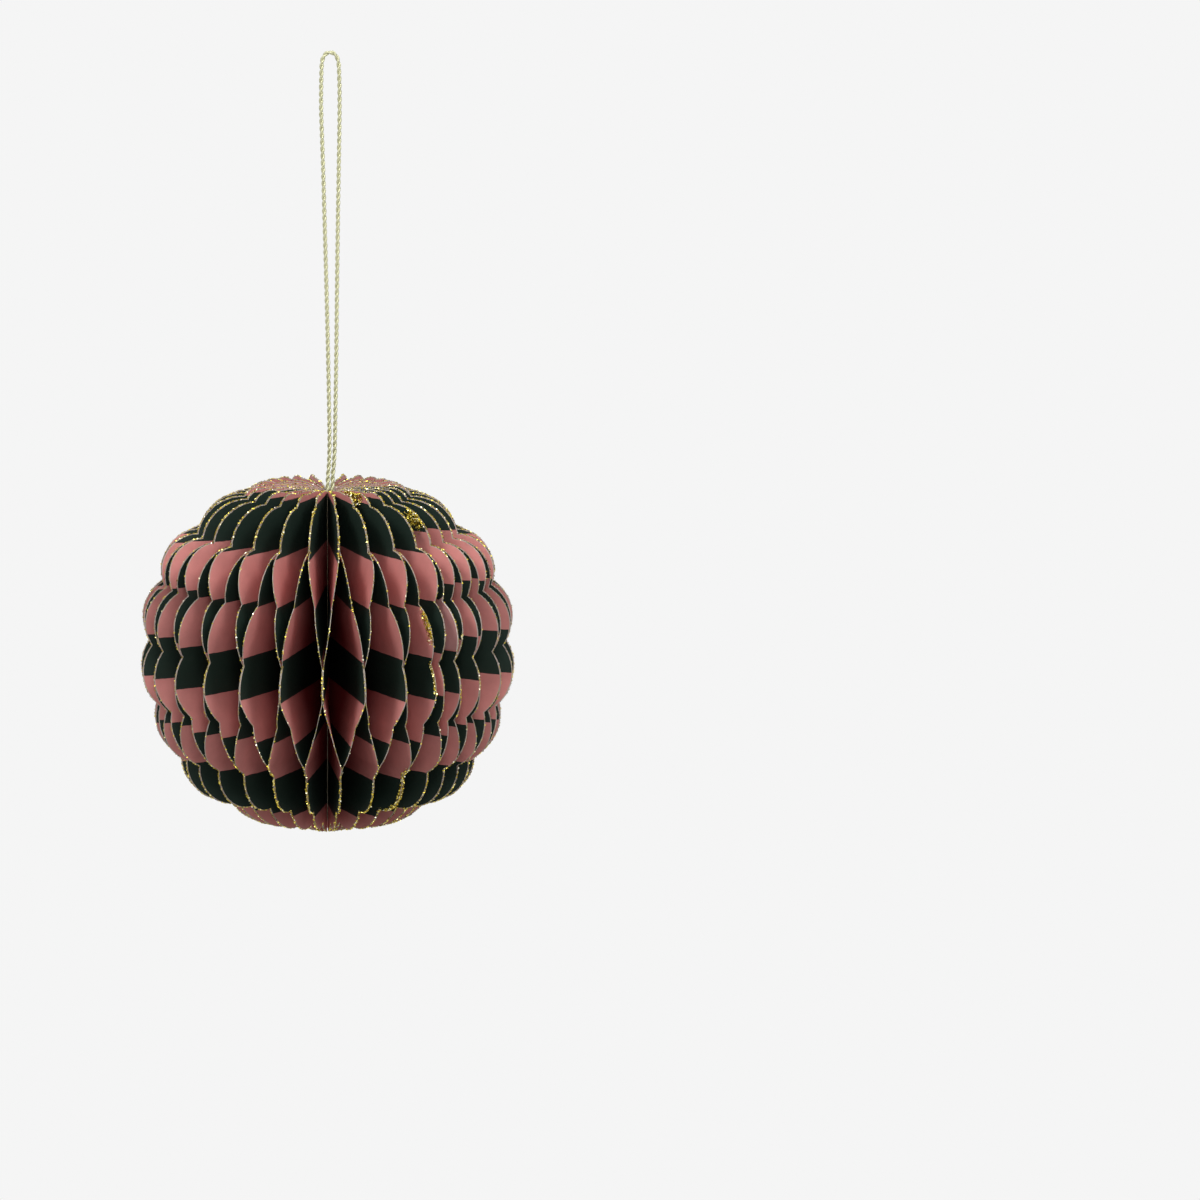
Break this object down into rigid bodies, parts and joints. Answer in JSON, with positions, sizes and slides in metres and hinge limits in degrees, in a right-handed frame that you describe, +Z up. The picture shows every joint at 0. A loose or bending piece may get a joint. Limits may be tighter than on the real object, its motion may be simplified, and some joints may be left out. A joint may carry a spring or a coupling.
{
  "type": "scalloped paper ball ornament",
  "caption": "Honeycomb ball of folded, scalloped card sheets glued round a core, striped in two colours, hung on a thin cord loop.",
  "frame": {"origin": "inside of the top bend of the hanging loop, where the peg touches the cord", "axes": "+Z up along the ball's axis, -Y towards the front of the ball, +X to its right"},
  "size_m": [0.0992, 0.0991, 0.2096],
  "materials": {
    "printed_card": "printed card, satin, cut edges left white with glitter",
    "tab_card": "printed card, matt",
    "glue": "set craft glue, slightly yellow",
    "cord": "two-strand twisted metallic cord"
  },
  "bodies": {
    "root": {"folded_sheet_01": "printed_card", "folded_sheet_02": "printed_card", "folded_sheet_03": "printed_card", "folded_sheet_04": "printed_card", "folded_sheet_05": "printed_card", "folded_sheet_06": "printed_card", "folded_sheet_07": "printed_card", "folded_sheet_08": "printed_card", "folded_sheet_09": "printed_card", "folded_sheet_10": "printed_card", "folded_sheet_11": "printed_card", "folded_sheet_12": "printed_card", "folded_sheet_13": "printed_card", "folded_sheet_14": "printed_card", "folded_sheet_15": "printed_card", "folded_sheet_16": "printed_card", "folded_sheet_17": "printed_card", "folded_sheet_18": "printed_card", "folded_sheet_19": "printed_card", "folded_sheet_20": "printed_card", "folded_sheet_21": "printed_card", "folded_sheet_22": "printed_card", "folded_sheet_23": "printed_card", "folded_sheet_24": "printed_card", "folded_sheet_25": "printed_card", "folded_sheet_26": "printed_card", "folded_sheet_27": "printed_card", "folded_sheet_28": "printed_card", "seam_tab": "tab_card", "core_rod": "glue", "core_collar": "glue", "cord_knot": "cord", "hanging_cord": "cord"}
  },
  "joints": []
}
